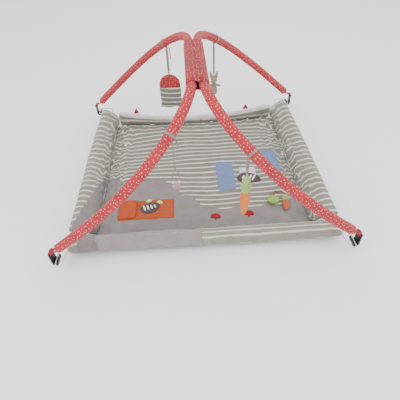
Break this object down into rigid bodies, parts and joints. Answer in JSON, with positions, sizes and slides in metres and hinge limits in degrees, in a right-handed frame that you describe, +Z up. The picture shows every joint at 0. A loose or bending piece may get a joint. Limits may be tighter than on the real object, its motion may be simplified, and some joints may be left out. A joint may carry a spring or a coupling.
{
  "type": "baby play gym",
  "caption": "Padded floor mat with fold-down walls and two bent arches in padded sleeves that carry hanging fabric toys; free-standing.",
  "frame": {"origin": "centre of the bounding box at the underside of the mat, which lies on the floor", "axes": "+X to the right and -Y to the front as the gym is looked at from its front wall, +Z up; the arches run front to rear"},
  "size_m": [0.9174, 0.9089, 0.4621],
  "materials": {
    "black_plastic": "satin moulded plastic",
    "blue_cotton": "plain-weave cotton",
    "dark_cotton": "brushed cotton",
    "deep_red_cotton": "plain-weave cotton",
    "green_cotton": "plain-weave cotton",
    "grey_jersey": "plain cotton jersey",
    "orange_cotton": "plain-weave cotton",
    "pale_cotton": "unbleached cotton",
    "pink_wood": "painted wooden pendant",
    "pole_plastic": "smooth glass-fibre rod",
    "red_spotted_cotton": "plain-weave cotton, printed with small spots",
    "speckled_linen": "speckled linen",
    "striped_jersey": "striped cotton jersey",
    "taupe_ribbon": "ribbed ribbon",
    "terracotta_cotton": "plain-weave cotton",
    "white_wood": "painted wooden bead"
  },
  "bodies": {
    "mat": {"mat_backing": "pale_cotton", "floor_pad": "grey_jersey", "orange_patch": "orange_cotton", "left_motif": "dark_cotton", "right_motif": "dark_cotton", "blue_patch_left": "blue_cotton", "blue_patch_right": "blue_cotton", "toadstool_left": "deep_red_cotton", "toadstool_right": "deep_red_cotton", "apple_ribbon": "orange_cotton"},
    "wall_left": {"wall_left": "striped_jersey", "loop_rear_left": "pale_cotton"},
    "wall_right": {"wall_right": "striped_jersey", "loop_rear_right": "pale_cotton"},
    "wall_front": {"wall_front": "grey_jersey", "loop_front_left": "pale_cotton", "loop_front_right": "pale_cotton"},
    "wall_rear": {"wall_rear": "striped_jersey", "rear_tab_left": "red_spotted_cotton", "rear_tab_right": "red_spotted_cotton"},
    "left_arch": {"sleeve_left": "red_spotted_cotton", "pole_left": "pole_plastic", "hub_cover": "red_spotted_cotton", "strap_front_left": "red_spotted_cotton", "strap_rear_left": "red_spotted_cotton", "pouch_tie": "taupe_ribbon", "beads_tie": "taupe_ribbon"},
    "right_arch": {"sleeve_right": "red_spotted_cotton", "pole_right": "pole_plastic", "strap_front_right": "red_spotted_cotton", "strap_rear_right": "red_spotted_cotton", "rabbit_tie": "taupe_ribbon", "carrot_tie": "taupe_ribbon"},
    "lift_flap": {"lift_flap": "orange_cotton"},
    "apple": {"apple": "green_cotton"},
    "small_carrot": {"small_carrot_leaf": "green_cotton", "small_carrot_root": "terracotta_cotton"},
    "hook_front_left": {"hook_front_left": "black_plastic"},
    "hook_front_right": {"hook_front_right": "black_plastic"},
    "hook_rear_left": {"hook_rear_left": "black_plastic"},
    "hook_rear_right": {"hook_rear_right": "black_plastic"},
    "pouch_ribbon": {"pouch_ribbon": "taupe_ribbon"},
    "pouch": {"pouch_loop": "orange_cotton", "pouch_top": "red_spotted_cotton", "pouch_body": "striped_jersey"},
    "rabbit_ribbon": {"rabbit_ribbon": "taupe_ribbon"},
    "rabbit": {"rabbit_body": "speckled_linen", "rabbit_head": "speckled_linen", "rabbit_ear_left": "speckled_linen", "rabbit_ear_right": "speckled_linen", "rabbit_arm_left": "speckled_linen", "rabbit_arm_right": "speckled_linen"},
    "beads_thread": {"beads_thread": "taupe_ribbon"},
    "beads": {"bead_loop": "taupe_ribbon", "white_bead_left": "white_wood", "white_bead_right": "white_wood", "bead_pendant": "pink_wood"},
    "carrot_ribbon": {"carrot_ribbon": "taupe_ribbon"},
    "carrot": {"carrot_leaves": "green_cotton", "carrot_root": "orange_cotton"}
  },
  "joints": [
    {"name": "frame_lift", "type": "slide", "parent": "mat", "child": "left_arch", "axis": [0, 0, 1], "range_m": [0, 0.25], "deforming": ["loop_front_left", "loop_front_right", "loop_rear_left", "loop_rear_right"]},
    {"name": "arch_fold", "type": "hinge", "parent": "left_arch", "child": "right_arch", "pos_m": [0.0155, 0, 0.44507], "axis": [0, -1, 0], "range_deg": [0, 82]},
    {"name": "wall_left_fold", "type": "hinge", "parent": "mat", "child": "wall_left", "pos_m": [-0.3545, 0, 0.006], "axis": [0, -1, 0], "range_deg": [0, 36]},
    {"name": "wall_right_fold", "type": "hinge", "parent": "mat", "child": "wall_right", "pos_m": [0.3545, 0, 0.006], "axis": [0, 1, 0], "range_deg": [0, 36]},
    {"name": "wall_front_fold", "type": "hinge", "parent": "mat", "child": "wall_front", "pos_m": [0, -0.3195, 0.006], "axis": [1, 0, 0], "range_deg": [-20, 10]},
    {"name": "wall_rear_fold", "type": "hinge", "parent": "mat", "child": "wall_rear", "pos_m": [0, 0.3575, 0.006], "axis": [-1, 0, 0], "range_deg": [0, 84]},
    {"name": "hook_front_left_rock", "type": "hinge", "parent": "left_arch", "child": "hook_front_left", "pos_m": [-0.4536, -0.4275, 0.08007], "axis": [0, 1, 0], "range_deg": [-6, 6]},
    {"name": "hook_front_right_rock", "type": "hinge", "parent": "right_arch", "child": "hook_front_right", "pos_m": [0.4536, -0.4275, 0.08007], "axis": [0, 1, 0], "range_deg": [-6, 6]},
    {"name": "hook_rear_left_rock", "type": "hinge", "parent": "left_arch", "child": "hook_rear_left", "pos_m": [-0.4536, 0.4275, 0.08007], "axis": [0, 1, 0], "range_deg": [-6, 6]},
    {"name": "hook_rear_right_rock", "type": "hinge", "parent": "right_arch", "child": "hook_rear_right", "pos_m": [0.4536, 0.4275, 0.08007], "axis": [0, 1, 0], "range_deg": [-6, 6]},
    {"name": "lift_flap_turn", "type": "hinge", "parent": "mat", "child": "lift_flap", "pos_m": [-0.29, -0.218, 0.02422], "axis": [0, -1, 0], "range_deg": [0, 120]},
    {"name": "apple_lift", "type": "hinge", "parent": "mat", "child": "apple", "pos_m": [0.245, -0.2, 0.03446], "axis": [-1, 0, 0], "range_deg": [0, 90], "deforming": ["apple_ribbon"]},
    {"name": "small_carrot_lift", "type": "hinge", "parent": "mat", "child": "small_carrot", "pos_m": [0.292, -0.197, 0.03148], "axis": [-1, 0, 0], "range_deg": [0, 90]},
    {"name": "pouch_swing", "type": "hinge", "parent": "left_arch", "child": "pouch_ribbon", "pos_m": [-0.10068, 0.35277, 0.35032], "axis": [1, 0, 0], "range_deg": [-25, 25]},
    {"name": "pouch_tilt", "type": "hinge", "parent": "pouch_ribbon", "child": "pouch", "pos_m": [-0.10068, 0.35277, 0.24872], "axis": [0, 1, 0], "range_deg": [-20, 20]},
    {"name": "rabbit_swing", "type": "hinge", "parent": "right_arch", "child": "rabbit_ribbon", "pos_m": [0.08692, 0.33779, 0.36246], "axis": [1, 0, 0], "range_deg": [-25, 25]},
    {"name": "rabbit_tilt", "type": "hinge", "parent": "rabbit_ribbon", "child": "rabbit", "pos_m": [0.08692, 0.33779, 0.23586], "axis": [0, 1, 0], "range_deg": [-20, 20]},
    {"name": "beads_swing", "type": "hinge", "parent": "left_arch", "child": "beads_thread", "pos_m": [-0.07586, -0.32395, 0.37226], "axis": [1, 0, 0], "range_deg": [-25, 25]},
    {"name": "beads_tilt", "type": "hinge", "parent": "beads_thread", "child": "beads", "pos_m": [-0.07586, -0.32395, 0.27866], "axis": [0, 1, 0], "range_deg": [-20, 20]},
    {"name": "carrot_swing", "type": "hinge", "parent": "right_arch", "child": "carrot_ribbon", "pos_m": [0.11526, -0.36648, 0.3375], "axis": [1, 0, 0], "range_deg": [-25, 25]},
    {"name": "carrot_tilt", "type": "hinge", "parent": "carrot_ribbon", "child": "carrot", "pos_m": [0.11526, -0.36648, 0.2799], "axis": [0, 1, 0], "range_deg": [-20, 20]}
  ]
}
